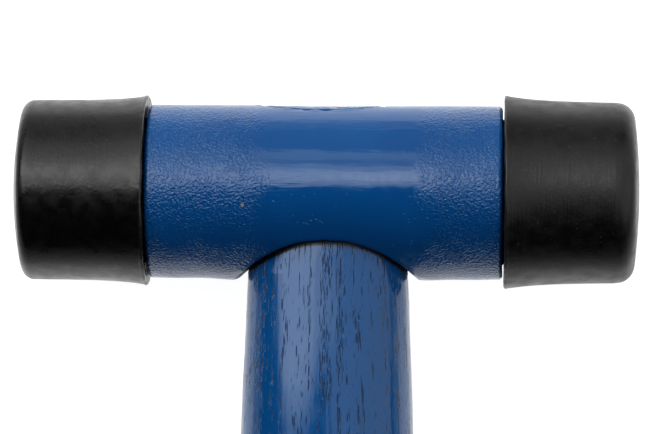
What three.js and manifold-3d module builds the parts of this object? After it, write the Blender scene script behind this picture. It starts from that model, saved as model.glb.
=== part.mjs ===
// Dead blow mallet with a cast head, pull-off rubber tips and a wedged wooden handle.
// Millimetres, +Z up. The mallet lies on its side: head along X, handle towards -Y.
// Each sub-part is made in the head's own frame: X along the head, Y up the eye, Z out of its side.
import * as THREE from "three";
import { mergeVertices } from "three/addons/utils/BufferGeometryUtils.js";
import Module from "manifold-3d";

const wasm = await Module();
wasm.setup();

const GAP = 0.3; // clearance between touching pieces
const OVERSHOOT = 1; // how far a cutter runs on past the face it opens

// Casing
const BARREL_RADIUS = 17.5;
const BARREL_HALF_LENGTH = 35.9;
const SPIGOT_RADIUS = 14.5;
const SPIGOT_END = 50;
const EDGE_BREAK = 0.6;
const CHAMBER_RADIUS = 11.5;
const CHAMBER_START = 18.8;
const PLUG_SEAT_START = 45.6;
const PLUG_SEAT_RADIUS = 12.9;

// Eye: half width along the head and half depth at each height, tapering from mouth to top
const EYE_SECTIONS = [
  { y: -22, centre: 0.9, halfX: 17.0, halfZ: 13.6 },
  { y: -15, centre: 0.9, halfX: 16.7, halfZ: 13.5 },
  { y: -9, centre: 0.7, halfX: 16.0, halfZ: 13.0 },
  { y: 0, centre: 0.4, halfX: 14.6, halfZ: 10.6 },
  { y: 9, centre: -0.3, halfX: 12.7, halfZ: 6.7 },
  { y: 12.5, centre: -0.6, halfX: 12.5, halfZ: 5.9 },
  { y: 20, centre: -0.7, halfX: 12.8, halfZ: 6.0 },
];
const EYE_ROUNDNESS = 2.2; // exponent of the superellipse, 2 being an ellipse

// Chamfer round the eye's mouth: its outline on the barrel, and how far it rises to the eye's wall
const MOUTH = EYE_SECTIONS[1];
const MOUTH_RIM = { centre: 0.35, halfX: 19.0, halfZ: 14.2 };
const MOUTH_RISE = 1.1;
const MOUTH_CUTTER = { outer: 1.6, inner: -0.5, cap: -0.6 }; // shares of the way from wall to rim
const MOUTH_CUTTER_BOTTOM = -BARREL_RADIUS - 4;
const MOUTH_CUTTER_TOP = -BARREL_RADIUS / 3;

// Rubber tips
const TIP_RADIUS = 18.3;
const TIP_BORE_DEPTH = 14.7;
const LIP_ROUND = 0.5;
const FLARE_STEPS = [2, 4, 7, 11, 16]; // distances from the lip at which the flare is shaped
const FACE_FLAT = 0.35; // share of the crowned striking face that is flat in its middle
const TIPS = {
  left: { end: 63.45, crown: 1.7, edge: 2.4, flare: 1.1, flareLength: 5 },
  right: { end: 63.6, crown: 0.9, edge: 3.7, flare: 1.4, flareLength: 7.5 },
};

// Chamber plug and its seal
const SEAL_THICKNESS = 0.8;
const SEAL_INNER_RADIUS = 10.4;
const PLUG_THICKNESS = 2.6;
const SPANNER_HOLE_RADIUS = 1.5;
const SPANNER_HOLE_OFFSET = 7;
const SPANNER_HOLE_DEPTH = 1.6;

// Steel shot: columns of balls lying in the lower side of each chamber
const SHOT_RADIUS = 3.57;
const SHOT_PITCH = 7.45;
const SHOT_LAYERS = 3;
const CHAMBER_END = PLUG_SEAT_START;

// Handle below the eye
const HANDLE_SECTIONS = [
  { y: -16, centre: 0.45, halfX: 16.2, halfZ: 13.3 },
  { y: -22, centre: 0.5, halfX: 16.5, halfZ: 13.8 },
  { y: -30, centre: 0.5, halfX: 16.8, halfZ: 14.5 },
  { y: -38.5, centre: 0.5, halfX: 17.2, halfZ: 15.2 },
  { y: -47, centre: 0.5, halfX: 17.5, halfZ: 15.8 },
  { y: -60, centre: 0.4, halfX: 17.8, halfZ: 16.4 },
  { y: -80, centre: 0.3, halfX: 17.7, halfZ: 16.3 },
  { y: -105, centre: 0.1, halfX: 16.8, halfZ: 15.3 },
  { y: -135, centre: 0, halfX: 15.8, halfZ: 14.1 },
  { y: -165, centre: 0, halfX: 15.5, halfZ: 13.6 },
  { y: -195, centre: 0, halfX: 16.2, halfZ: 13.9 },
  { y: -225, centre: 0, halfX: 17.4, halfZ: 14.5 },
  { y: -250, centre: 0, halfX: 18.1, halfZ: 14.9 },
  { y: -270, centre: 0, halfX: 18.3, halfZ: 15.0 },
  { y: -282, centre: 0, halfX: 18.3, halfZ: 15.0 },
  { y: -285.2, centre: 0, halfX: 17.9, halfZ: 14.6 },
  { y: -287.2, centre: 0, halfX: 16.6, halfZ: 13.3 },
  { y: -288, centre: 0, halfX: 14.4, halfZ: 11.1 },
];
const HANDLE_ROUNDNESS = 2.3;
const BUTT = { y: -282, halfZ: 15.0 }; // where the handle meets the bench
const TENON_FOOT = -13.5; // where the shaft takes over from the tenon in the eye
const THROAT = { y: -13, centre: 0.6, halfX: 15.7, halfZ: 13.0 };

// Wedges in the handle's end
const FLUSH_RADIUS = BARREL_RADIUS - 0.2;
const WOOD_WEDGE = { halfLength: 9.8, top: 1.3, tip: 0.5, from: -6 };
const STEEL_WEDGE = { halfLength: 4, top: 0.9, tip: 0.3, from: 5, x: 3.2 };
const WEDGE_TOP = 20;

const LIP_RADIUS = TIP_RADIUS + Math.max(TIPS.left.flare, TIPS.right.flare);
const SLIVER = 0.004; // edges shorter than this are merged away after a cut
const ROUND_SEGMENTS = 56;
const HANDLE_SEGMENTS = 40;
const HOLE_SEGMENTS = 16;
const EDGE_STEPS = 6;

// ---------- geometry helpers ----------

function solidFrom(geometry) {
  const plain = geometry.clone();
  plain.deleteAttribute("normal");
  plain.deleteAttribute("uv");
  const merged = mergeVertices(plain, 1e-4);
  const mesh = new wasm.Mesh({
    numProp: 3,
    vertProperties: merged.attributes.position.array,
    triVerts: new Uint32Array(merged.index.array),
  });
  return new wasm.Manifold(mesh);
}

function geometryFrom(solid) {
  const mesh = solid.simplify(SLIVER).getMesh();
  const geometry = new THREE.BufferGeometry();
  geometry.setAttribute("position", new THREE.BufferAttribute(mesh.vertProperties, 3));
  geometry.setIndex(new THREE.BufferAttribute(mesh.triVerts, 1));
  const faceted = geometry.toNonIndexed();
  faceted.computeVertexNormals();
  return faceted;
}

// Turns a profile of [radius, x] points round the head's axis. The points run towards +X.
function turned(profile, segments = ROUND_SEGMENTS) {
  const points = profile.map(([radius, x]) => new THREE.Vector2(radius, x));
  const geometry = new THREE.LatheGeometry(points, segments);
  geometry.rotateZ(-Math.PI / 2);
  geometry.rotateX(Math.PI / segments);
  return geometry;
}

function cylinder(radius, from, to, segments = ROUND_SEGMENTS) {
  return turned([[0, from], [radius, from], [radius, to], [0, to]], segments);
}

// Skins a list of rings, each a closed list of Vector3, and closes both ends with a fan.
function skinned(rings) {
  const count = rings[0].length;
  const positions = [];
  const triangles = [];
  for (const ring of rings) {
    for (const point of ring) positions.push(point.x, point.y, point.z);
  }
  for (let i = 0; i + 1 < rings.length; i += 1) {
    for (let j = 0; j < count; j += 1) {
      const a = i * count + j;
      const b = i * count + ((j + 1) % count);
      triangles.push(a, b, b + count, a, b + count, a + count);
    }
  }
  for (const [ring, first, flip] of [
    [rings[0], 0, true],
    [rings.at(-1), (rings.length - 1) * count, false],
  ]) {
    const middle = new THREE.Vector3();
    for (const point of ring) middle.addScaledVector(point, 1 / count);
    const centre = positions.length / 3;
    positions.push(middle.x, middle.y, middle.z);
    for (let j = 0; j < count; j += 1) {
      const a = first + j;
      const b = first + ((j + 1) % count);
      triangles.push(...(flip ? [b, a, centre] : [a, b, centre]));
    }
  }
  const geometry = new THREE.BufferGeometry();
  geometry.setAttribute("position", new THREE.Float32BufferAttribute(positions, 3));
  geometry.setIndex(triangles);
  return geometry;
}

// One oval ring of a superellipse. heightAt gives its Y from its Z, so that it can follow a curve.
function ovalRing(section, roundness, grow, heightAt = () => section.y) {
  const ring = [];
  for (let j = 0; j < HANDLE_SEGMENTS; j += 1) {
    const angle = (-2 * Math.PI * j) / HANDLE_SEGMENTS;
    const power = 2 / roundness;
    const cosine = Math.cos(angle);
    const sine = Math.sin(angle);
    const x = Math.sign(cosine) * Math.abs(cosine) ** power * (section.halfX + grow);
    const z = Math.sign(sine) * Math.abs(sine) ** power * (section.halfZ + grow);
    ring.push(new THREE.Vector3(section.centre + x, heightAt(z), z));
  }
  return ring;
}

function ovalLoft(sections, roundness, grow = 0) {
  const upwards = [...sections].sort((a, b) => a.y - b.y);
  return skinned(upwards.map((section) => ovalRing(section, roundness, grow)));
}

// A wedge whose thickness falls from its top to its tip. Its long side lies along X.
function wedgeBlock({ halfLength, top, tip, from }, grow = 0) {
  const ring = (y, halfThickness) =>
    [[1, 1], [1, -1], [-1, -1], [-1, 1]].map(([signX, signZ]) => {
      const x = signX * (halfLength + grow);
      return new THREE.Vector3(x, y, signZ * (halfThickness + grow));
    });
  return skinned([ring(from - grow, tip), ring(WEDGE_TOP, top)]);
}

function steelWedgeSolid(grow = 0) {
  const block = wedgeBlock(STEEL_WEDGE, grow);
  block.rotateY(Math.PI / 2);
  block.translate(STEEL_WEDGE.x, 0, 0);
  return solidFrom(block);
}

// Everything in the eye is cut flush with the barrel's round top.
function flushCutter() {
  return solidFrom(cylinder(FLUSH_RADIUS, -BARREL_HALF_LENGTH, BARREL_HALF_LENGTH));
}

// ---------- sub-parts ----------

function casingBody() {
  const half = [
    [BARREL_RADIUS - EDGE_BREAK, BARREL_HALF_LENGTH],
    [SPIGOT_RADIUS, BARREL_HALF_LENGTH],
    [SPIGOT_RADIUS, SPIGOT_END - EDGE_BREAK],
    [SPIGOT_RADIUS - EDGE_BREAK, SPIGOT_END],
    [0, SPIGOT_END],
  ];
  const right = [[BARREL_RADIUS, BARREL_HALF_LENGTH - EDGE_BREAK], ...half];
  const left = right.map(([radius, x]) => [radius, -x]).reverse();
  return solidFrom(turned([...left, ...right]));
}

// The cutter for the chamfer round the eye's mouth. Share 0 is the edge at the eye's wall and
// share 1 the rim on the barrel; the flank runs on past both, and flat rings close the cutter.
function mouthChamfer() {
  const inner = ovalRing(MOUTH, EYE_ROUNDNESS, 0);
  const outer = ovalRing({ ...MOUTH, ...MOUTH_RIM }, EYE_ROUNDNESS, 0);
  const ring = (share, level) =>
    outer.map((rim, index) => {
      const point = new THREE.Vector3().lerpVectors(inner[index], rim, share);
      const underside = -Math.sqrt(BARREL_RADIUS ** 2 - rim.z ** 2);
      point.y = level ?? underside + MOUTH_RISE * (1 - share);
      return point;
    });
  const { outer: start, inner: end, cap } = MOUTH_CUTTER;
  const flank = [ring(start), ring(0), ring(end)];
  const rings = [ring(start, MOUTH_CUTTER_BOTTOM), ...flank, ring(cap, MOUTH_CUTTER_TOP)];
  return solidFrom(skinned(rings));
}

function headCasing() {
  let solid = casingBody();
  for (const side of [-1, 1]) {
    const bores = [
      [CHAMBER_RADIUS, CHAMBER_START, SPIGOT_END + OVERSHOOT],
      [PLUG_SEAT_RADIUS, PLUG_SEAT_START, SPIGOT_END + OVERSHOOT],
    ];
    for (const [radius, from, to] of bores) {
      const ends = side > 0 ? [from, to] : [-to, -from];
      solid = solid.subtract(solidFrom(cylinder(radius, ...ends)));
    }
  }
  solid = solid.subtract(solidFrom(ovalLoft(EYE_SECTIONS, EYE_ROUNDNESS)));
  return geometryFrom(solid.subtract(mouthChamfer()));
}

// Half of a tip's outline, from its lip to the middle of its crowned striking face.
function tipProfile({ end, crown, edge, flare, flareLength }) {
  const lip = BARREL_HALF_LENGTH + GAP;
  const bore = SPIGOT_RADIUS + GAP;
  const lipRadius = TIP_RADIUS + flare;
  const profile = [
    [0, lip + TIP_BORE_DEPTH],
    [bore - EDGE_BREAK, lip + TIP_BORE_DEPTH],
    [bore, lip + TIP_BORE_DEPTH - EDGE_BREAK],
    [bore, lip],
    [lipRadius - LIP_ROUND, lip],
    [lipRadius, lip + LIP_ROUND],
  ];
  for (const distance of FLARE_STEPS) {
    profile.push([TIP_RADIUS + flare * Math.exp(-distance / flareLength), lip + distance]);
  }
  const lean = Math.atan((2 * crown) / (TIP_RADIUS - edge));
  const faceRadius = TIP_RADIUS - edge * (1 - Math.sin(lean));
  for (let i = 0; i <= EDGE_STEPS; i += 1) {
    const angle = (Math.PI / 2 - lean) * (i / EDGE_STEPS);
    const radius = TIP_RADIUS - edge * (1 - Math.cos(angle));
    profile.push([radius, end - crown - edge * (Math.cos(lean) - Math.sin(angle))]);
  }
  for (const share of [2 * FACE_FLAT, FACE_FLAT, 0]) {
    const bulge = Math.max(share ** 2 - FACE_FLAT ** 2, 0) / (1 - FACE_FLAT ** 2);
    profile.push([faceRadius * share, end - crown * bulge]);
  }
  return profile;
}

function rubberTip(side) {
  const geometry = turned(tipProfile(side < 0 ? TIPS.left : TIPS.right));
  return side < 0 ? geometry.rotateY(Math.PI) : geometry;
}

function endPlug(side) {
  const from = PLUG_SEAT_START + SEAL_THICKNESS + 2 * GAP;
  const to = from + PLUG_THICKNESS;
  const radius = PLUG_SEAT_RADIUS - GAP;
  const rim = radius - EDGE_BREAK / 2;
  const outline = [[0, from], [radius, from], [radius, to - EDGE_BREAK / 2], [rim, to], [0, to]];
  let solid = solidFrom(turned(outline));
  for (const offset of [-SPANNER_HOLE_OFFSET, SPANNER_HOLE_OFFSET]) {
    const hole = cylinder(SPANNER_HOLE_RADIUS, to - SPANNER_HOLE_DEPTH, to + OVERSHOOT, HOLE_SEGMENTS);
    hole.translate(0, offset, 0);
    solid = solid.subtract(solidFrom(hole));
  }
  const geometry = geometryFrom(solid);
  return side < 0 ? geometry.rotateY(Math.PI) : geometry;
}

function plugSeal(side) {
  const from = PLUG_SEAT_START + GAP;
  const to = from + SEAL_THICKNESS;
  const outer = PLUG_SEAT_RADIUS - GAP;
  const outline = [
    [SEAL_INNER_RADIUS, from],
    [outer, from],
    [outer, to],
    [SEAL_INNER_RADIUS, to],
    [SEAL_INNER_RADIUS, from],
  ];
  const geometry = turned(outline);
  return side < 0 ? geometry.rotateY(Math.PI) : geometry;
}

// Where the balls of one layer lie across the chamber, as [y, z]: two, then three over them. The
// layer nearest the handle has two more on top.
function shotSpots(layer) {
  const rise = SHOT_PITCH * Math.sqrt(0.75);
  const half = SHOT_PITCH / 2;
  const spots = [[-half, -rise], [half, -rise]];
  for (const column of [-1, 0, 1]) spots.push([column * SHOT_PITCH, 0]);
  if (layer === 0) spots.push([-half, rise], [half, rise]);
  return spots;
}

function steelShot(side) {
  const middle = (CHAMBER_START + CHAMBER_END) / 2;
  const balls = [];
  for (let layer = 0; layer < SHOT_LAYERS; layer += 1) {
    const x = side * (middle + (layer - (SHOT_LAYERS - 1) / 2) * SHOT_PITCH);
    for (const [y, z] of shotSpots(layer)) {
      balls.push(new THREE.IcosahedronGeometry(SHOT_RADIUS, 2).translate(x, y, z));
    }
  }
  return balls;
}

// Takes the tenon's lower end off where the slimmer shaft takes over.
function underMouth() {
  const reach = 60;
  const slab = new THREE.BoxGeometry(reach, reach, reach);
  slab.translate(0, TENON_FOOT - reach / 2, 0);
  return solidFrom(slab);
}

function handle() {
  const tenon = solidFrom(ovalLoft(EYE_SECTIONS.slice(1), EYE_ROUNDNESS, -GAP));
  const shaft = solidFrom(ovalLoft([THROAT, ...HANDLE_SECTIONS], HANDLE_ROUNDNESS));
  let solid = tenon.intersect(flushCutter()).subtract(underMouth()).add(shaft);
  solid = solid.subtract(solidFrom(wedgeBlock(WOOD_WEDGE, GAP)));
  return geometryFrom(solid.subtract(steelWedgeSolid(GAP)));
}

function woodWedge() {
  const block = solidFrom(wedgeBlock(WOOD_WEDGE));
  return geometryFrom(block.intersect(flushCutter()).subtract(steelWedgeSolid(GAP)));
}

function steelWedge() {
  return geometryFrom(steelWedgeSolid().intersect(flushCutter()));
}

// ---------- materials ----------

function bluePaint() {
  return new THREE.MeshStandardMaterial({ color: 0x17508f, roughness: 0.3, metalness: 0.2 });
}

function paintedWood() {
  return new THREE.MeshStandardMaterial({ color: 0x1b4f88, roughness: 0.4, metalness: 0 });
}

function blackRubber() {
  return new THREE.MeshStandardMaterial({ color: 0x161616, roughness: 0.6, metalness: 0 });
}

function sealRubber() {
  return new THREE.MeshStandardMaterial({ color: 0x2b2622, roughness: 0.8, metalness: 0 });
}

function platedSteel() {
  return new THREE.MeshStandardMaterial({ color: 0x9a9c9e, roughness: 0.35, metalness: 0.9 });
}

function shotSteel() {
  return new THREE.MeshStandardMaterial({ color: 0x8b8d90, roughness: 0.25, metalness: 1 });
}

function bareWood() {
  return new THREE.MeshStandardMaterial({ color: 0xb98d58, roughness: 0.7, metalness: 0 });
}

// ---------- assembly ----------

const mallet = new THREE.Group();

function addPiece(name, geometry, material) {
  const mesh = new THREE.Mesh(geometry, material);
  mesh.name = name;
  mallet.add(mesh);
}

addPiece("head_casing", headCasing(), bluePaint());
addPiece("handle", handle(), paintedWood());
addPiece("wood_wedge", woodWedge(), bareWood());
addPiece("steel_wedge", steelWedge(), platedSteel());

for (const [word, side] of [["left", -1], ["right", 1]]) {
  addPiece(`rubber_tip_${word}`, rubberTip(side), blackRubber());
  addPiece(`end_plug_${word}`, endPlug(side), platedSteel());
  addPiece(`plug_seal_${word}`, plugSeal(side), sealRubber());
  steelShot(side).forEach((ball, index) => {
    const number = String(index + 1).padStart(2, "0");
    addPiece(`shot_${word}_${number}`, ball, shotSteel());
  });
}

// The mallet rolls about its head until the butt of the handle meets the bench with both lips.
mallet.rotation.x = Math.asin((LIP_RADIUS - BUTT.halfZ) / -BUTT.y);
const box = new THREE.Box3().setFromObject(mallet, true);
const middle = box.getCenter(new THREE.Vector3());
mallet.position.set(-middle.x, -middle.y, -box.min.z);

export default new THREE.Group().add(mallet);
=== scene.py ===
"""Dead blow mallet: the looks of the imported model, in metres, in the CAD frame.

The casing, handle and rubber tips are built again here as fine meshes. The end plugs, seals,
shot and wedges stay as the CAD made them and only get materials. Meshes are made in millimetres
in the head's own frame, X along the head, Y up the eye and Z out of its side, then placed.
"""

import math

import bpy
import numpy as np
from mathutils import Matrix, Vector


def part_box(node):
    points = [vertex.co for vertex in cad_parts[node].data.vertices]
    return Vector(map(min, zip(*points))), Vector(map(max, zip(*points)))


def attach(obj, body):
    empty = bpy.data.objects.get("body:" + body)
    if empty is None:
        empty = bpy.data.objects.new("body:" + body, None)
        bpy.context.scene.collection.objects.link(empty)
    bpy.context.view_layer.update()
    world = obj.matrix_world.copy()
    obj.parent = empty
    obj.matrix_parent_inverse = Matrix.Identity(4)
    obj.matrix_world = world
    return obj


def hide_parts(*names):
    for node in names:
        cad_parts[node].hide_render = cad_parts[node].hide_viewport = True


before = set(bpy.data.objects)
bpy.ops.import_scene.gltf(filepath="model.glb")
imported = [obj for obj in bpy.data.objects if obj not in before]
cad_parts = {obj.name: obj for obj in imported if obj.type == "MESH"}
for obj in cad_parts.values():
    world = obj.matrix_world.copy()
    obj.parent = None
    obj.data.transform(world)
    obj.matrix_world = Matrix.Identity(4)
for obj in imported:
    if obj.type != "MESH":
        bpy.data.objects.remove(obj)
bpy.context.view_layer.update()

MM = 0.001

# ---------- driving dimensions, in millimetres ----------

BARREL_RADIUS = 17.5
BARREL_HALF = 35.9
SPIGOT_RADIUS = 14.5
SPIGOT_END = 50.0
CHAMBER_RADIUS = 11.5
CHAMBER_START = 18.8
SEAT_START = 45.6
SEAT_RADIUS = 12.9
GAP = 0.3
EDGE_BREAK = 0.6
OVERSHOOT = 1.0  # how far a cutter runs on past the face it opens

# height, centre, half width along the head, half depth
EYE_SECTIONS = [
    (-22, 0.9, 17.0, 13.6),
    (-15, 0.9, 16.7, 13.5),
    (-9, 0.7, 16.0, 13.0),
    (0, 0.4, 14.6, 10.6),
    (9, -0.3, 12.7, 6.7),
    (12.5, -0.6, 12.5, 5.9),
    (20, -0.7, 12.8, 6.0),
]
EYE_ROUNDNESS = 2.2
EYE_BOTTOM = EYE_SECTIONS[0][0]
EYE_TOP = EYE_SECTIONS[-1][0]
MOUTH = EYE_SECTIONS[1]
MOUTH_RIM = (-15, 0.35, 19.0, 14.2)
MOUTH_RISE = 1.1

HANDLE_SECTIONS = [
    (-16, 0.45, 16.2, 13.3),
    (-22, 0.5, 16.5, 13.8),
    (-30, 0.5, 16.8, 14.5),
    (-38.5, 0.5, 17.2, 15.2),
    (-47, 0.5, 17.5, 15.8),
    (-60, 0.4, 17.8, 16.4),
    (-80, 0.3, 17.7, 16.3),
    (-105, 0.1, 16.8, 15.3),
    (-135, 0, 15.8, 14.1),
    (-165, 0, 15.5, 13.6),
    (-195, 0, 16.2, 13.9),
    (-225, 0, 17.4, 14.5),
    (-250, 0, 18.1, 14.9),
    (-270, 0, 18.3, 15.0),
    (-282, 0, 18.3, 15.0),
]
HANDLE_ROUNDNESS = 2.3
HANDLE_GIRTH = 16.0  # a radius that unrolls the oval handle to about its real girth
BUTT_Y = -282.0
BUTT_HALF_DEPTH = 15.0
BUTT_END = -288.0
BUTT_ROUND = 4.0
TENON_FOOT = -13.0  # where the shaft has taken over from the tenon in the eye
SHAFT_TOP = -16.2
SHOWN_FROM = -70.0  # the part of the shaft that is seen close has closer rings
FLUSH_RADIUS = BARREL_RADIUS - 0.2

# half length, half thickness at the top, half thickness at the tip, height of the tip
WOOD_WEDGE = (9.8, 1.3, 0.5, -6)
STEEL_WEDGE = (4, 0.9, 0.3, 5)
STEEL_WEDGE_X = 3.2

TIP_RADIUS = 18.3
TIP_BORE_DEPTH = 14.7
LIP_ROUND = 0.45
TIPS = {
    "left": {"end": 63.45, "crown": 1.7, "edge": 2.4, "flare": 1.1, "flare_length": 5.0},
    "right": {"end": 63.6, "crown": 0.9, "edge": 3.7, "flare": 1.4, "flare_length": 7.5},
}
LIP_RADIUS = TIP_RADIUS + max(tip["flare"] for tip in TIPS.values())

# ---------- the head's frame ----------

head_low, head_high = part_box("head_casing")
TILT = math.asin((LIP_RADIUS - BUTT_HALF_DEPTH) / -BUTT_Y)
HEAD = Matrix.Translation((head_low + head_high) / 2) @ Matrix.Rotation(TILT, 4, "X")

# ---------- camera ----------

CAMERA_DISTANCE = 0.905
CAMERA_ASIDE = 0.036
AIM_DOWN = 0.00523  # how far below the middle of the head, towards the handle, the camera aims
CAMERA_ROLL = math.radians(0.36)
FRAME_WIDTH = 0.1327  # what the picture spans across at the head
SENSOR = 36.0

camera = bpy.data.objects.new("camera", bpy.data.cameras.new("camera"))
bpy.context.scene.collection.objects.link(camera)
bpy.context.scene.camera = camera
eye_point = HEAD @ Vector((CAMERA_ASIDE, -AIM_DOWN, CAMERA_DISTANCE))
aim_point = HEAD @ Vector((0, -AIM_DOWN, 0))
back = (eye_point - aim_point).normalized()
right = (HEAD.to_3x3() @ Vector((1, 0, 0))).cross(back).cross(back).normalized() * -1
facing = Matrix((right, back.cross(right), back)).transposed()
rolled = facing @ Matrix.Rotation(CAMERA_ROLL, 3, "Z")
camera.matrix_world = Matrix.LocRotScale(eye_point, rolled, None)
camera.data.sensor_width = SENSOR
camera.data.lens = SENSOR * CAMERA_DISTANCE / FRAME_WIDTH
camera.data.clip_start = 0.01
camera.data.clip_end = 100


# ---------- noise on points ----------


def lattice_value(cell, seed):
    """A repeatable value from -1 to 1 for each whole-number lattice point."""
    mixed = cell[..., 0] * 374761393 + cell[..., 1] * 668265263 + cell[..., 2] * 1440662683
    mixed = (mixed + seed * 1274126177) & 0xFFFFFFFF
    mixed = ((mixed ^ (mixed >> 13)) * 1103515245) & 0xFFFFFFFF
    return ((mixed ^ (mixed >> 16)) & 0xFFFF) / 32767.5 - 1


def noise(points, size, seed):
    """Smooth value noise from -1 to 1 on an array of points, with blobs about size across."""
    scaled = points / size
    base = np.floor(scaled).astype(np.int64)
    part = scaled - base
    part = part * part * (3 - 2 * part)
    total = np.zeros(len(points))
    for corner in np.ndindex(2, 2, 2):
        weight = np.prod(np.where(corner, part, 1 - part), axis=1)
        total += weight * lattice_value(base + np.array(corner), seed)
    return total


def ramp(value, low, high):
    """0 below low, 1 above high, and smooth between. Low may be above high."""
    t = np.clip((value - low) / (high - low), 0, 1)
    return t * t * (3 - 2 * t)


# ---------- mesh helpers ----------


def link_mesh(name, points, faces):
    mesh = bpy.data.meshes.new(name)
    mesh.from_pydata([tuple(p) for p in points], [], faces)
    mesh.update()
    made = bpy.data.objects.new(name, mesh)
    bpy.context.scene.collection.objects.link(made)
    return made


def skin_rings(name, rings, close_ends=True):
    """Joins rings of points, an array of shape (rings, points, 3), into a mesh. Each end gets a fan."""
    ring_count, count = rings.shape[:2]
    points = rings.reshape(-1, 3)
    faces = []
    for i in range(ring_count - 1):
        for j in range(count):
            a = i * count + j
            b = i * count + (j + 1) % count
            faces.append((a, b, b + count, a + count))
    if close_ends:
        first, last = len(points), len(points) + 1
        points = np.vstack([points, rings[0].mean(0), rings[-1].mean(0)])
        top = (ring_count - 1) * count
        for j in range(count):
            k = (j + 1) % count
            faces.append((k, j, first))
            faces.append((top + j, top + k, last))
    return link_mesh(name, points, faces)


def turned_rings(profile, segments):
    """Rings round the X axis for a list of (radius, x), running towards +X."""
    angle = -2 * math.pi * np.arange(segments) / segments
    radius, x = np.array(profile, float).T
    rings = np.empty((len(profile), segments, 3))
    rings[..., 0] = x[:, None]
    rings[..., 1] = radius[:, None] * np.sin(angle)
    rings[..., 2] = -radius[:, None] * np.cos(angle)
    return rings


def oval(half_x, half_z, roundness, segments):
    """x and z of a superellipse, as two arrays."""
    angle = -2 * math.pi * np.arange(segments) / segments
    cosine, sine = np.cos(angle), np.sin(angle)
    power = 2 / roundness
    x = np.sign(cosine) * np.abs(cosine) ** power * half_x
    z = np.sign(sine) * np.abs(sine) ** power * half_z
    return x, z


def oval_ring(section, roundness, segments, height=None):
    """One ring of a loft. height(x, z) may bend it out of its plane."""
    y, centre, half_x, half_z = section
    x, z = oval(half_x, half_z, roundness, segments)
    ys = np.full(segments, float(y)) if height is None else height(x, z)
    return np.stack([x + centre, ys, z], axis=1)


def curve_through(sections, heights):
    """Sections at any heights, on a smooth curve through the given ones, which rise in height."""
    known = np.array(sorted(sections), float)
    at = known[:, 0]
    slopes = np.gradient(known[:, 1:], at, axis=0)
    i = np.clip(np.searchsorted(at, heights) - 1, 0, len(at) - 2)
    span = (at[i + 1] - at[i])[:, None]
    t = ((heights - at[i]) / span[:, 0])[:, None]
    a, b = known[i, 1:], known[i + 1, 1:]
    ma, mb = slopes[i] * span, slopes[i + 1] * span
    values = (
        (2 * t**3 - 3 * t**2 + 1) * a
        + (t**3 - 2 * t**2 + t) * ma
        + (3 * t**2 - 2 * t**3) * b
        + (t**3 - t**2) * mb
    )
    return np.column_stack([heights, values])


def drop(thing):
    mesh = thing.data
    bpy.data.objects.remove(thing)
    bpy.data.meshes.remove(mesh)


def apply_modifiers(thing):
    bpy.context.view_layer.update()
    graph = bpy.context.evaluated_depsgraph_get()
    made = bpy.data.meshes.new_from_object(thing.evaluated_get(graph))
    old = thing.data
    thing.modifiers.clear()
    thing.data = made
    bpy.data.meshes.remove(old)


def carve(thing, cutters):
    for cutter in cutters:
        cut = thing.modifiers.new("cut", "BOOLEAN")
        cut.operation = "DIFFERENCE"
        cut.solver = "EXACT"
        cut.object = cutter
    apply_modifiers(thing)
    for cutter in cutters:
        drop(cutter)


def mesh_points(mesh):
    points = np.empty(len(mesh.vertices) * 3)
    mesh.vertices.foreach_get("co", points)
    return points.reshape(-1, 3)


def mesh_normals(mesh):
    normals = np.empty(len(mesh.vertices) * 3)
    mesh.vertex_normals.foreach_get("vector", normals)
    return normals.reshape(-1, 3)


def set_points(mesh, points):
    mesh.vertices.foreach_set("co", points.reshape(-1))
    mesh.update()


def place(thing, body, node, material):
    """Scales a millimetre mesh, shades it smooth, puts it in the head's frame and lets it ride."""
    thing.data.transform(Matrix.Scale(MM, 4))
    thing.data.polygons.foreach_set("use_smooth", [True] * len(thing.data.polygons))
    thing.data.materials.clear()
    thing.data.materials.append(material)
    thing.matrix_world = HEAD
    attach(thing, body)
    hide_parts(node)


# ---------- casing ----------

CASING_VOXEL = 0.33
BARREL_SEGMENTS = 240
CUTTER_SEGMENTS = 160
EYE_RINGS = 22
MOUTH_OUTER, MOUTH_INNER, MOUTH_CAP = 1.6, -0.5, -0.6  # shares of the way from wall to rim
MOUTH_CUTTER_BOTTOM = -BARREL_RADIUS - 4
MOUTH_CUTTER_TOP = -BARREL_RADIUS / 3


def cylinder_cutter(radius, start, end):
    return skin_rings("cutter", turned_rings([(radius, start), (radius, end)], CUTTER_SEGMENTS))


def mouth_cutter():
    """The chamfer round the eye's mouth. Share 0 is at the eye's wall and share 1 on the barrel."""
    inner = oval_ring(MOUTH, EYE_ROUNDNESS, CUTTER_SEGMENTS)
    outer = oval_ring(MOUTH_RIM, EYE_ROUNDNESS, CUTTER_SEGMENTS)
    underside = -np.sqrt(BARREL_RADIUS**2 - outer[:, 2] ** 2)

    def ring(share, level=None):
        made = inner + (outer - inner) * share
        made[:, 1] = underside + MOUTH_RISE * (1 - share) if level is None else level
        return made

    rings = [ring(MOUTH_OUTER, MOUTH_CUTTER_BOTTOM), ring(MOUTH_OUTER), ring(0)]
    rings += [ring(MOUTH_INNER), ring(MOUTH_CAP, MOUTH_CUTTER_TOP)]
    return skin_rings("cutter", np.array(rings))


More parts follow.
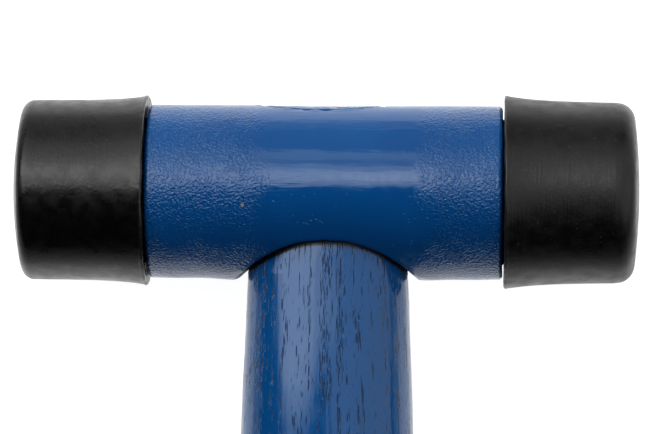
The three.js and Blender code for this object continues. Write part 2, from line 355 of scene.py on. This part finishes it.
def make_casing():
    half = [
        (BARREL_RADIUS, BARREL_HALF - 0.5),
        (BARREL_RADIUS - 0.5, BARREL_HALF),
        (SPIGOT_RADIUS, BARREL_HALF),
        (SPIGOT_RADIUS, SPIGOT_END - EDGE_BREAK),
        (SPIGOT_RADIUS - EDGE_BREAK, SPIGOT_END),
    ]
    outline = [(r, -x) for r, x in reversed(half)] + half
    casing = skin_rings("casing", turned_rings(outline, BARREL_SEGMENTS))
    sections = curve_through(EYE_SECTIONS, np.linspace(EYE_BOTTOM, EYE_TOP, EYE_RINGS))
    eye = [oval_ring(section, EYE_ROUNDNESS, CUTTER_SEGMENTS) for section in sections]
    cutters = [skin_rings("cutter", np.array(eye)), mouth_cutter()]
    for side in (-1, 1):
        for radius, start in ((CHAMBER_RADIUS, CHAMBER_START), (SEAT_RADIUS, SEAT_START)):
            ends = sorted((side * start, side * (SPIGOT_END + OVERSHOOT)))
            cutters.append(cylinder_cutter(radius, *ends))
    carve(casing, cutters)
    remesh = casing.modifiers.new("remesh", "REMESH")
    remesh.mode = "VOXEL"
    remesh.voxel_size = CASING_VOXEL
    apply_modifiers(casing)
    weather_casing(casing.data)
    return casing


def mouth_distance(points, section):
    """Roughly how far outside a section of the eye each point is, in millimetres."""
    _, centre, half_x, half_z = section
    across = np.abs((points[:, 0] - centre) / half_x) ** EYE_ROUNDNESS
    deep = np.abs(points[:, 2] / half_z) ** EYE_ROUNDNESS
    return ((across + deep) ** (1 / EYE_ROUNDNESS) - 1) * (half_x + half_z) / 2


def soften(mesh, points, weight, rounds):
    """Rounds off edges where weight is above 0, by drawing each point towards its neighbours."""
    edges = np.empty(len(mesh.edges) * 2, np.int32)
    mesh.edges.foreach_get("vertices", edges)
    edges = edges.reshape(-1, 2)
    start, end = np.concatenate([edges, edges[:, ::-1]]).T
    count = np.bincount(start, minlength=len(points))[:, None]
    for _ in range(rounds):
        totals = [np.bincount(start, points[end, axis], len(points)) for axis in range(3)]
        points += (np.stack(totals, axis=1) / count - points) * (0.6 * weight)[:, None]


BOSS_X = 19  # how far along the head the swellings each side of the mouth have their crests


def weather_casing(mesh):
    """Gives the cast skin its unevenness, and the thick paint's soft edges at the eye's ends."""
    points = mesh_points(mesh)
    radius = np.hypot(points[:, 1], points[:, 2])
    barrel = np.abs(points[:, 0]) < BARREL_HALF - 0.7
    skin = barrel & (np.abs(radius - BARREL_RADIUS) < 0.15)
    true = np.where(skin, BARREL_RADIUS / np.maximum(radius, 1), 1.0)
    points[:, 1] *= true
    points[:, 2] *= true
    below = ramp(points[:, 1], -6, -9)
    from_mouth = mouth_distance(points, MOUTH_RIM)
    soften(mesh, points, below * ramp(np.abs(from_mouth + 0.4), 2.6, 1.4), 14)
    above = ramp(points[:, 1], 10, 14)
    from_top = mouth_distance(points, EYE_SECTIONS[-1])
    soften(mesh, points, above * ramp(np.abs(from_top), 1.2, 0.7), 3)
    set_points(mesh, points)
    normals = mesh_normals(mesh)
    outer = ramp(radius, BARREL_RADIUS - 0.9, BARREL_RADIUS - 0.2)
    lift = 0.055 * noise(points, 13.0, 1) + 0.02 * noise(points, 5.0, 2)
    lift += 0.008 * noise(points, 2.2, 3)
    boss = np.exp(-(((np.abs(points[:, 0]) - BOSS_X) / 5.5) ** 2))
    lift += ramp(points[:, 1], -12.5, -17.5) * (0.26 + 0.3 * boss + 0.1 * noise(points, 6.0, 6))
    burr = np.exp(-(((from_mouth - 0.5) / 0.8) ** 2))
    lift += below * burr * (0.02 + 0.1 * noise(points, 2.6, 4))
    rim = np.exp(-(((from_top - 0.3) / 0.6) ** 2))
    lift += above * rim * (0.04 + 0.2 * noise(points, 2.0, 5))
    set_points(mesh, points + normals * (lift * outer)[:, None])


# ---------- handle ----------

HANDLE_SEGMENTS = 300
BUTT_RINGS = 9
CAP_SHARES = (1.0, 0.98, 0.95, 0.9, 0.85, 0.75, 0.65, 0.55, 0.45, 0.35, 0.25, 0.15, 0.07)
CAP_ROUNDING = 0.45
CAP_HEIGHT = 16.0  # the height whose section the flush cap has


def butt_rings():
    """The rounded end of the handle, from its flat up to its full width."""
    _, centre, half_x, half_z = curve_through(HANDLE_SECTIONS, np.array([BUTT_Y]))[0]
    rings = []
    for angle in np.linspace(math.pi / 2, 0, BUTT_RINGS):
        inset = BUTT_ROUND * (1 - math.cos(angle))
        y = BUTT_END + BUTT_ROUND * (1 - math.sin(angle))
        section = (y, centre, half_x - inset, half_z - inset)
        rings.append(oval_ring(section, HANDLE_ROUNDNESS, HANDLE_SEGMENTS))
    return rings


def shaft_rings():
    heights = np.concatenate([np.arange(BUTT_Y, SHOWN_FROM, 1.5), np.arange(SHOWN_FROM, SHAFT_TOP, 0.4)])
    sections = curve_through(HANDLE_SECTIONS, heights)
    return [oval_ring(section, HANDLE_ROUNDNESS, HANDLE_SEGMENTS) for section in sections]


def tenon_rings():
    """The rings in the eye, which start as slim as the shaft and then fill the eye."""
    rings = []
    for y, centre, half_x, half_z in curve_through(EYE_SECTIONS, np.arange(TENON_FOOT, 15.5, 0.75)):
        blend = float(ramp(np.array(y), TENON_FOOT, TENON_FOOT + 2))
        roundness = HANDLE_ROUNDNESS + (EYE_ROUNDNESS - HANDLE_ROUNDNESS) * blend
        section = (y, centre, half_x - GAP - 0.7 * (1 - blend), half_z - GAP)
        rings.append(oval_ring(section, roundness, HANDLE_SEGMENTS))
    return rings


def cap_rings():
    """The cut end of the handle, flush with the round top of the barrel."""
    _, centre, half_x, half_z = curve_through(EYE_SECTIONS, np.array([CAP_HEIGHT]))[0]
    rings = []
    for share in CAP_SHARES:
        crest = FLUSH_RADIUS - CAP_ROUNDING * float(ramp(np.array(share), 0.93, 1.0))
        section = (0, centre, (half_x - GAP) * share, (half_z - GAP) * share)

        def flush(_, z, crest=crest):
            return np.sqrt(crest**2 - z**2)

        rings.append(oval_ring(section, EYE_ROUNDNESS, HANDLE_SEGMENTS, flush))
    return rings


def make_handle():
    rings = butt_rings() + shaft_rings() + tenon_rings() + cap_rings()
    handle = skin_rings("handle_wood", np.array(rings))
    carve(handle, [wedge_slot(*WOOD_WEDGE), steel_slot()])
    weather_handle(handle.data)
    return handle


def wedge_slot(half_length, top, tip, foot):
    """A tapered slot with its long side along X, grown by the gap all round."""
    corners = [(1, -1), (1, 1), (-1, 1), (-1, -1)]
    rings = []
    for y, half in ((foot - GAP, tip + GAP), (EYE_TOP, top + GAP)):
        rings.append([(-sx * (half_length + GAP), y, sz * half) for sx, sz in corners])
    return skin_rings("cutter", np.array(rings, float))


def steel_slot():
    slot = wedge_slot(*STEEL_WEDGE)
    turn = Matrix.Rotation(math.pi / 2, 4, "Y")
    slot.data.transform(Matrix.Translation((STEEL_WEDGE_X, 0, 0)) @ turn)
    return slot


def weather_handle(mesh):
    """Shallow ripples along the grain, as paint leaves on sanded open-grained wood."""
    points = mesh_points(mesh)
    normals = mesh_normals(mesh)
    along = points * np.array([1, 0.08, 1])
    lift = 0.03 * noise(along, 2.6, 11) + 0.05 * noise(points * np.array([1, 0.3, 1]), 9.0, 12)
    outer = ramp(points[:, 1], -11, -14)
    end_grain = ramp(points[:, 1], 15.5, 16.2) * (0.12 + 0.1 * noise(points, 1.5, 13))
    set_points(mesh, points + normals * (lift * outer + end_grain)[:, None])


# ---------- rubber tips ----------

TIP_SEGMENTS = 280


def tip_profile(end, crown, edge, flare, flare_length):
    """(radius, x) from the bottom of the bore, out over the lip and along to the striking face."""
    lip = BARREL_HALF + GAP
    bore = SPIGOT_RADIUS + GAP
    deep = lip + TIP_BORE_DEPTH
    lip_radius = TIP_RADIUS + flare
    profile = [(r, deep) for r in (3, 8, 12, bore - EDGE_BREAK)]
    profile += [(bore, x) for x in np.linspace(deep - EDGE_BREAK, lip + 0.7, 8)]
    profile += [(bore + 0.25, lip + 0.2), (bore + 0.5, lip)]
    profile += [(r, lip) for r in (bore + 1.5, bore + 2.8, lip_radius - 0.9)]
    for angle in np.linspace(0, math.pi / 2, 5):
        radius = lip_radius - LIP_ROUND * (1 - math.sin(angle))
        profile.append((radius, lip + LIP_ROUND * (1 - math.cos(angle))))
    for distance in np.arange(0.75, end - crown - lip - edge - 0.2, 0.4):
        profile.append((TIP_RADIUS + flare * math.exp(-distance / flare_length), lip + distance))
    lean = math.atan(2 * crown / (TIP_RADIUS - edge))
    for angle in np.linspace(0, math.pi / 2 - lean, 12):
        radius = TIP_RADIUS - edge * (1 - math.cos(angle))
        profile.append((radius, end - crown - edge * (math.cos(lean) - math.sin(angle))))
    face_radius = profile[-1][0]
    for radius in np.arange(face_radius - 0.8, 0.8, -1.0):
        profile.append((radius, end - crown * (radius / face_radius) ** 2))
    return profile


def make_tip(word, side):
    """A tip is made pointing along +X, with a slightly torn lip, and turned over for the left."""
    rings = turned_rings(tip_profile(**TIPS[word]), TIP_SEGMENTS)
    tip = skin_rings("tip_" + word, rings)
    points = mesh_points(tip.data)
    normals = mesh_normals(tip.data)
    distance = points[:, 0] - BARREL_HALF - GAP
    radius = np.hypot(points[:, 1], points[:, 2])
    outer = ramp(radius, SPIGOT_RADIUS + 0.8, SPIGOT_RADIUS + 1.8)
    at_lip = np.exp(-((distance / 0.7) ** 2)) * outer
    seed = 21 if side < 0 else 31
    lift = 0.02 * noise(points, 7.0, seed) + 0.005 * noise(points, 1.6, seed + 1)
    lift += at_lip * (0.10 * noise(points, 2.3, seed + 2) + 0.05 * noise(points, 0.9, seed + 3))
    points += normals * (lift * outer)[:, None]
    points[:, 0] += at_lip * (0.12 * noise(points, 3.1, seed + 4) + 0.06)
    points[:, 0] = np.minimum(points[:, 0], TIPS[word]["end"])
    set_points(tip.data, points)
    if side < 0:
        tip.data.transform(Matrix.Rotation(math.pi, 4, "Y"))
    return tip


# ---------- materials ----------

PAINTED_ABOVE = HEAD.translation.y / MM + 15.0  # in the frame of the CAD's own nodes


class Surface:
    """One procedural material. Sizes are in millimetres in the piece's own frame."""

    def __init__(self, name):
        self.material = bpy.data.materials.new(name)
        self.material.use_nodes = True
        self.tree = self.material.node_tree
        self.shader = self.tree.nodes["Principled BSDF"]
        where = self.add("TexCoord").outputs["Object"]
        self.where = self.add("Mapping", {"Vector": where, "Scale": (1000, 1000, 1000)}).outputs[0]
        parts = self.add("SeparateXYZ", {"Vector": self.where})
        self.x, self.y, self.z = parts.outputs

    def put(self, socket, value):
        if isinstance(value, bpy.types.NodeSocket):
            self.tree.links.new(value, socket)
        else:
            socket.default_value = value

    def add(self, kind, inputs=None, **settings):
        node = self.tree.nodes.new("ShaderNode" + kind)
        for key, value in settings.items():
            setattr(node, key, value)
        for key, value in (inputs or {}).items():
            self.put(node.inputs[key], value)
        return node

    def set(self, **inputs):
        for key, value in inputs.items():
            self.put(self.shader.inputs[key.replace("_", " ")], value)

    def math(self, operation, a, b=0.0):
        return self.add("Math", {0: a, 1: b}, operation=operation).outputs[0]

    def times(self, a, b):
        return self.math("MULTIPLY", a, b)

    def plus(self, a, b):
        return self.math("ADD", a, b)

    def ramp(self, value, low, high, at_low=0.0, at_high=1.0):
        inputs = {0: value, 1: low, 2: high, 3: at_low, 4: at_high}
        return self.add("MapRange", inputs, interpolation_type="SMOOTHSTEP").outputs[0]

    def stretch(self, scale, turn=(0, 0, 0)):
        inputs = {"Vector": self.where, "Rotation": turn, "Scale": scale}
        return self.add("Mapping", inputs).outputs[0]

    def noise(self, size, detail=2.0, where=None):
        inputs = {"Vector": where or self.where, "Scale": 1 / size, "Detail": detail}
        return self.add("TexNoise", inputs).outputs[0]

    def cells(self, where):
        return self.add("TexVoronoi", {"Vector": where, "Scale": 1.0})

    def dots(self, scale, low, high, turn=(0, 0, 0)):
        """Scattered dots: 0 further than low from the middle of a cell, 1 nearer than high."""
        return self.ramp(self.cells(self.stretch(scale, turn)).outputs["Distance"], low, high)

    def mix(self, share, a, b):
        node = self.add("Mix", data_type="RGBA")
        for socket, value in ((node.inputs[0], share), (node.inputs[6], a), (node.inputs[7], b)):
            self.put(socket, value)
        return node.outputs[2]

    def bump(self, height, depth):
        """depth is how many metres a height of 1 stands up."""
        return self.add("Bump", {"Height": height, "Distance": depth}).outputs[0]


def tone(red, green, blue):
    return (red, green, blue, 1.0)


# The dark colour of painted shade in the joint where the handle enters the eye's mouth.
PAINTED_SHADE = tone(0.0004, 0.003, 0.012)
SHINE = 0.75  # the specular level of the paint and the rubber
BRUSH_SLANT = math.radians(13)
NICKS_AT = (-3.0, -5.9)


def peeled_skin(s):
    """The rough cast skin under the paint towards both ends, and how rough each place is."""
    wander = s.times(s.math("SUBTRACT", s.noise(6.0, 3), 0.5), 7.0)
    left = s.ramp(s.plus(s.x, wander), -8.0, -17.0)
    right = s.ramp(s.plus(s.x, wander), 17.5, 21.5)
    rough_cast = s.math("MAXIMUM", left, right)
    patches = s.ramp(s.noise(8.0, 2), 0.3, 0.6, 0.45, 1.0)
    grit = s.ramp(s.noise(0.5, 1.0), 0.42, 0.68)
    peel = s.plus(s.times(s.noise(0.62, 1.0), 0.95), s.times(grit, 0.45))
    return s.times(s.times(peel, rough_cast), patches), rough_cast


def brush_marks(s, rough_cast):
    lines = s.noise(1.0, 2, s.stretch((0.12, 2.6, 2.6), (0, 0, BRUSH_SLANT)))
    smooth_part = s.math("SUBTRACT", 1.0, rough_cast)
    patches = s.ramp(s.noise(11.0, 1), 0.35, 0.6, 0.25, 1.0)
    return s.times(s.times(lines, smooth_part), s.times(patches, 0.26))


def paint_pimples(s):
    pimples = s.dots((0.2, 0.2, 0.2), 0.06, 0.02)
    flecks = s.dots((0.55, 0.9, 0.9), 0.13, 0.06, (0, 0, math.radians(25)))
    return s.math("MAXIMUM", pimples, s.times(flecks, s.ramp(s.noise(9.0, 2), 0.45, 0.6)))


def paint_nicks(s):
    """A patch of small nicks low in the middle of the barrel."""
    from_x = s.math("ABSOLUTE", s.plus(s.x, -NICKS_AT[0]))
    from_y = s.math("ABSOLUTE", s.plus(s.y, -NICKS_AT[1]))
    zone = s.times(s.ramp(from_x, 4.5, 1.5), s.ramp(from_y, 1.5, 0.4))
    return s.times(s.dots((0.9, 1.9, 0.9), 0.24, 0.1, (0, 0, math.radians(35))), zone)


def mouth_painted_shade(s):
    """1 on the chamfer round the eye's mouth and on the eye's wall, 0 on the barrel: where painted shade
    darkens the joint.
    """
    _, centre, half_x, half_z = MOUTH_RIM
    across = s.times(s.plus(s.x, -centre), 1 / half_x)
    deep = s.times(s.z, 1 / half_z)
    from_rim = s.plus(s.times(across, across), s.times(deep, deep))
    return s.times(s.ramp(from_rim, 1.05, 0.96), s.ramp(s.y, -8.0, -9.0))


def cast_paint():
    s = Surface("cast_paint")
    peel, rough_cast = peeled_skin(s)
    faint = s.times(s.noise(2.4, 2), 0.2)
    nicks = paint_nicks(s)
    height = s.plus(s.plus(peel, faint), brush_marks(s, rough_cast))
    height = s.plus(height, s.times(paint_pimples(s), 0.5))
    normal = s.bump(s.plus(height, s.times(nicks, 0.5)), 0.00014)
    shade = s.ramp(s.noise(20.0, 2), 0.3, 0.7)
    paint = s.mix(shade, tone(0.0018, 0.078, 0.255), tone(0.0025, 0.09, 0.28))
    chips = s.dots((0.11, 0.11, 0.11), 0.045, 0.022)
    colour = s.mix(chips, paint, tone(0.36, 0.27, 0.16))
    colour = s.mix(s.times(nicks, 0.5), colour, tone(0.25, 0.38, 0.5))
    # Painted shade darkens the mouth's chamfer and the eye's wall, which are also made rougher.
    painted_shade = mouth_painted_shade(s)
    colour = s.mix(painted_shade, colour, PAINTED_SHADE)
    roughness = s.plus(s.ramp(s.noise(3.0, 3), 0.3, 0.7, 0.06, 0.11), s.times(painted_shade, 0.4))
    s.set(Base_Color=colour, Roughness=roughness, Normal=normal)
    s.set(Specular_IOR_Level=SHINE)
    return s.material


def wood_paint():
    s = Surface("wood_paint")
    sway = s.times(s.math("SUBTRACT", s.noise(9.0, 2), 0.5), 1.2)
    round_it = s.plus(s.times(s.math("ARCTAN2", s.x, s.z), HANDLE_GIRTH), sway)

    def flat_point(across, along, shift):
        """A point on the unrolled handle, in cells of across by along millimetres."""
        across_it = s.plus(s.times(round_it, 1 / across), shift)
        return s.add("CombineXYZ", {0: across_it, 1: s.times(s.y, 1 / along)}).outputs[0]

    rows = s.ramp(s.noise(1.0, 1, flat_point(1.25, 60.0, 0.0)), 0.47, 0.6)
    fields = s.ramp(s.noise(1.0, 1, flat_point(7.0, 14.0, 5.0)), 0.3, 0.65, 0.45, 1.0)
    share = s.times(rows, fields)

    def pores(across, along, shift, common, rare):
        cell = s.cells(flat_point(across, along, shift))
        luck = s.add("SeparateXYZ", {0: cell.outputs["Color"]}).outputs[0]
        limit = s.plus(s.times(share, common), rare)
        kept = s.math("LESS_THAN", luck, limit)
        return s.times(kept, s.ramp(cell.outputs["Distance"], 0.46, 0.22))

    short_pores = pores(0.36, 3.0, 0.0, 0.62, 0.03)
    long_pores = pores(0.25, 6.0, 31.7, 0.4, 0.02)
    open_pores = s.math("MAXIMUM", short_pores, long_pores)
    fine = pores(0.2, 1.6, 57.3, 0.5, 0.06)
    grain = s.noise(1.0, 2, s.stretch((0.9, 0.03, 0.9)))
    height = s.math("SUBTRACT", s.times(grain, 0.35), open_pores)
    height = s.math("SUBTRACT", height, s.times(fine, 0.35))
    normal = s.bump(height, 0.00013)
    shade = s.ramp(s.noise(1.0, 2, s.stretch((0.12, 0.01, 0.12))), 0.3, 0.7)
    paint = s.mix(shade, tone(0.004, 0.088, 0.265), tone(0.005, 0.1, 0.3))
    colour = s.mix(s.times(open_pores, 0.9), paint, tone(0.0006, 0.016, 0.07))
    colour = s.mix(s.times(fine, 0.5), colour, tone(0.001, 0.02, 0.08))
    # Painted shade on the handle just below the eye's mouth, where the barrel's edge overhangs it; it is
    # also made rougher there.
    depth = s.math("SQRT", s.plus(s.times(s.y, s.y), s.times(s.z, s.z)))
    depth = s.plus(depth, s.times(s.noise(1.0, 2, flat_point(0.5, 4.0, 9.0)), -0.5))
    painted_shade = s.times(s.ramp(depth, 16.9, 16.3), s.ramp(s.y, -5.0, -6.0))
    colour = s.mix(painted_shade, colour, PAINTED_SHADE)
    roughness = s.plus(s.ramp(s.noise(4.0, 2), 0.3, 0.7, 0.08, 0.14), s.times(open_pores, 0.3))
    roughness = s.plus(roughness, s.times(painted_shade, 0.4))
    s.set(Base_Color=colour, Roughness=roughness, Normal=normal)
    s.set(Specular_IOR_Level=SHINE)
    return s.material


def rubber(name, end, worn, dusty, roughness):
    """worn is how far the scuffed band at the striking edge reaches, in millimetres. dusty is how
    much fine dust shows, and roughness the mean roughness."""
    s = Surface(name)
    along = s.math("ABSOLUTE", s.x)
    edge = s.ramp(s.plus(along, s.times(s.noise(3.0, 3), 2.0)), end - worn, end + 1.0)
    scuffs = s.ramp(s.noise(1.0, 4, s.stretch((0.5, 0.9, 0.9))), 0.52, 0.72)
    dust = s.dots((0.45, 0.45, 0.45), 0.06, 0.03)
    fine_dust = s.times(s.dots((1.1, 1.1, 1.1), 0.09, 0.05, (0.3, 0.5, 0.7)), dusty)
    black = s.mix(s.times(scuffs, 0.5), tone(0.002, 0.002, 0.002), tone(0.007, 0.0066, 0.006))
    colour = s.mix(s.times(edge, 0.6), black, tone(0.05, 0.047, 0.045))
    lip = s.ramp(along, BARREL_HALF + GAP + 1.0, BARREL_HALF + GAP + 0.3)
    colour = s.mix(s.times(lip, 0.5), colour, tone(0.03, 0.024, 0.016))
    colour = s.mix(s.times(dust, 0.5), colour, tone(0.2, 0.19, 0.17))
    colour = s.mix(fine_dust, colour, tone(0.16, 0.15, 0.14))
    rings = s.noise(1.0, 3, s.stretch((2.6, 0.12, 0.12)))
    height = s.plus(s.times(s.noise(0.6, 3), 0.5), s.times(rings, 0.5))
    height = s.plus(height, s.times(s.noise(3.0, 2), 0.2))
    normal = s.bump(height, 0.00006)
    gloss = s.ramp(s.noise(2.5, 3), 0.3, 0.7, roughness - 0.05, roughness + 0.08)
    s.set(Base_Color=colour, Roughness=gloss, Normal=normal, Specular_IOR_Level=SHINE)
    return s.material


def steel(name, colour, roughness, scratch):
    s = Surface(name)
    streaks = s.noise(1.0, 3, s.stretch(scratch))
    blotch = s.ramp(s.noise(1.8, 3), 0.35, 0.65)
    dark = tuple(0.6 * c for c in colour)
    s.set(Base_Color=s.mix(blotch, tone(*dark), tone(*colour)), Metallic=1.0)
    s.set(Roughness=s.ramp(streaks, 0.3, 0.7, roughness - 0.06, roughness + 0.1))
    s.set(Normal=s.bump(streaks, 0.00001))
    return s.material


def seal_rubber():
    s = Surface("seal_rubber")
    fibre = s.noise(0.5, 4)
    s.set(Base_Color=s.mix(fibre, tone(0.02, 0.016, 0.012), tone(0.05, 0.04, 0.03)))
    s.set(Roughness=s.ramp(fibre, 0.3, 0.7, 0.7, 0.9), Normal=s.bump(fibre, 0.00003))
    return s.material


def painted_top(s, colour):
    """Covers what shows at the top of the eye with the head's paint."""
    cover = s.ramp(s.plus(s.y, s.times(s.noise(0.8, 3), 0.5)), PAINTED_ABOVE, PAINTED_ABOVE + 0.4)
    return s.mix(cover, colour, tone(0.004, 0.085, 0.26)), cover


def wedge_wood():
    s = Surface("wedge_wood")
    grain = s.noise(1.0, 4, s.stretch((1.6, 0.12, 1.6)))
    bare = s.mix(grain, tone(0.24, 0.13, 0.055), tone(0.5, 0.33, 0.17))
    colour, cover = painted_top(s, bare)
    roughness = s.math("SUBTRACT", s.ramp(grain, 0.3, 0.7, 0.55, 0.75), s.times(cover, 0.4))
    s.set(Base_Color=colour, Roughness=roughness, Normal=s.bump(grain, 0.00005))
    return s.material


def wedge_steel():
    s = Surface("wedge_steel")
    streaks = s.noise(1.0, 3, s.stretch((3, 0.3, 3)))
    bare = s.mix(s.noise(1.8, 3), tone(0.27, 0.26, 0.26), tone(0.45, 0.44, 0.43))
    colour, cover = painted_top(s, bare)
    s.set(Base_Color=colour, Metallic=s.math("SUBTRACT", 1.0, cover))
    s.set(Roughness=s.ramp(streaks, 0.3, 0.7, 0.3, 0.45), Normal=s.bump(streaks, 0.00002))
    return s.material


# ---------- pieces ----------

place(make_casing(), "head", "head_casing", cast_paint())
place(make_handle(), "head", "handle", wood_paint())
for word, side, worn, dusty, dull in (("left", -1, 0.8, 0.1, 0.28), ("right", 1, 2.6, 0.4, 0.36)):
    tip_rubber = rubber("rubber_" + word, TIPS[word]["end"], worn, dusty, dull)
    place(make_tip(word, side), "tip_" + word, "rubber_tip_" + word, tip_rubber)

CAD_LOOKS = {
    "end_plug": (steel("plug_steel", (0.55, 0.55, 0.54), 0.35, (0.4, 3, 0.4)), 30),
    "plug_seal": (seal_rubber(), 30),
    "shot": (steel("shot_steel", (0.5, 0.5, 0.51), 0.22, (0.8, 0.8, 0.8)), 180),
    "wood_wedge": (wedge_wood(), 30),
    "steel_wedge": (wedge_steel(), 30),
}


def dress_cad_nodes():
    """Materials for the CAD's own nodes, smooth where they are round and crisp at their edges."""
    for name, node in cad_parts.items():
        for prefix, (material, crease) in CAD_LOOKS.items():
            if not name.startswith(prefix):
                continue
            node.data.materials.clear()
            node.data.materials.append(material)
            weld = node.modifiers.new("weld", "WELD")
            weld.merge_threshold = 1e-6
            if prefix == "shot":
                rounder = node.modifiers.new("rounder", "SUBSURF")
                rounder.levels = rounder.render_levels = 1
            node.data.polygons.foreach_set("use_smooth", [True] * len(node.data.polygons))
            split = node.modifiers.new("split", "EDGE_SPLIT")
            split.split_angle = math.radians(crease)


dress_cad_nodes()

# ---------- floor and light ----------


FLOOR_MIDDLE = tuple(HEAD.translation / MM)
FLOOR_RADIUS = 4000
FLOOR_THICKNESS = 20
FLOOR_GLOW = 0.8


def make_floor(name, top, glow_far, glow_from, glow_to):
    """A pale disc that glows evenly near the head, and less from glow_from out to glow_to."""
    outline = [(FLOOR_RADIUS, top - FLOOR_THICKNESS), (FLOOR_RADIUS, top)]
    floor = skin_rings(name, turned_rings(outline, 64))
    floor.data.transform(Matrix.Rotation(-math.pi / 2, 4, "Y"))
    floor.data.transform(Matrix.Scale(MM, 4))
    s = Surface(name)
    cloud = s.ramp(s.noise(400.0, 2), 0.3, 0.7)
    s.set(Base_Color=s.mix(cloud, tone(0.34, 0.34, 0.34), tone(0.36, 0.36, 0.36)))
    s.set(Roughness=0.9, Specular_IOR_Level=0.0)
    away = s.add("VectorMath", {0: s.where, 1: FLOOR_MIDDLE}, operation="DISTANCE").outputs["Value"]
    glow = s.ramp(away, glow_from, glow_to, FLOOR_GLOW, glow_far)
    s.set(Emission_Color=tone(1, 1, 1), Emission_Strength=glow)
    floor.data.materials.append(s.material)
    return floor


LIGHT_DISTANCE = 1.0

# name, degrees to the left and to the top of straight above the head, half the angle it fills
# across and upwards, radiance. The three keys share a lower edge, so they fade towards the top.
SOFTBOXES = [
    ("key", 31.5, 31.5, 33.2, 30.0, 0.6),
    ("key_middle", 31.5, 22.0, 35.0, 22.0, 0.7),
    ("key_low", 31.5, 18.0, 40.0, 15.5, 0.8),
    ("top", 10.0, 66.0, 24.0, 24.0, 0.3),
    ("high", 70.0, 58.0, 20.0, 20.0, 0.2),
    ("fill", -44.0, 12.0, 44.0, 44.0, 0.62),
]
WASH = ("wash", 0.0, 62.0, 28.0, 25.0, 1.3)  # lights the paint, but is not mirrored in it


def softbox(name, azimuth, elevation, across, upwards, radiance):
    """An oval soft light, facing the head."""
    azimuth, elevation = math.radians(azimuth), math.radians(elevation)
    half_width = LIGHT_DISTANCE * math.tan(math.radians(across))
    half_height = LIGHT_DISTANCE * math.tan(math.radians(upwards))
    level = math.cos(elevation)
    toward = Vector((-math.sin(azimuth) * level, math.sin(elevation), math.cos(azimuth) * level))
    light = bpy.data.lights.new(name, "AREA")
    light.shape = "ELLIPSE"
    light.size = 2 * half_width
    light.size_y = 2 * half_height
    light.energy = radiance * math.pi * math.pi * half_width * half_height
    lamp = bpy.data.objects.new(name, light)
    bpy.context.scene.collection.objects.link(lamp)
    side = Vector((0, 1, 0)).cross(toward).normalized()
    facing = Matrix((side, toward.cross(side), toward)).transposed()
    lamp.matrix_world = HEAD @ Matrix.LocRotScale(toward * LIGHT_DISTANCE, facing, None)
    lamp.visible_camera = False
    return lamp


def make_world():
    """A white backdrop to the camera, and nearly dark surroundings to everything else."""
    world = bpy.data.worlds.new("studio")
    bpy.context.scene.world = world
    world.use_nodes = True
    tree = world.node_tree
    surroundings = tree.nodes["Background"]
    surroundings.inputs["Color"].default_value = tone(1, 1, 1)
    surroundings.inputs["Strength"].default_value = 0.015
    backdrop = tree.nodes.new("ShaderNodeBackground")
    backdrop.inputs["Color"].default_value = tone(1, 1, 1)
    path = tree.nodes.new("ShaderNodeLightPath")
    choose = tree.nodes.new("ShaderNodeMixShader")
    tree.links.new(path.outputs["Is Camera Ray"], choose.inputs[0])
    tree.links.new(surroundings.outputs[0], choose.inputs[1])
    tree.links.new(backdrop.outputs[0], choose.inputs[2])
    tree.links.new(choose.outputs[0], tree.nodes["World Output"].inputs["Surface"])


# The camera sees a wide, even floor. The mallet's paint mirrors one that is lit round it alone.
seen_floor = make_floor("floor", 0.0, 0.62, 250.0, 900.0)
seen_floor.visible_glossy = False
seen_floor.visible_diffuse = False
mirrored_floor = make_floor("mirrored_floor", -1.0, 0.2, 92.0, 135.0)
mirrored_floor.visible_camera = False
mirrored_floor.visible_shadow = False
make_world()
for values in SOFTBOXES:
    softbox(*values)
softbox(*WASH).visible_glossy = False
bpy.context.scene.view_settings.view_transform = "Standard"
bpy.context.scene.view_settings.look = "Medium High Contrast"
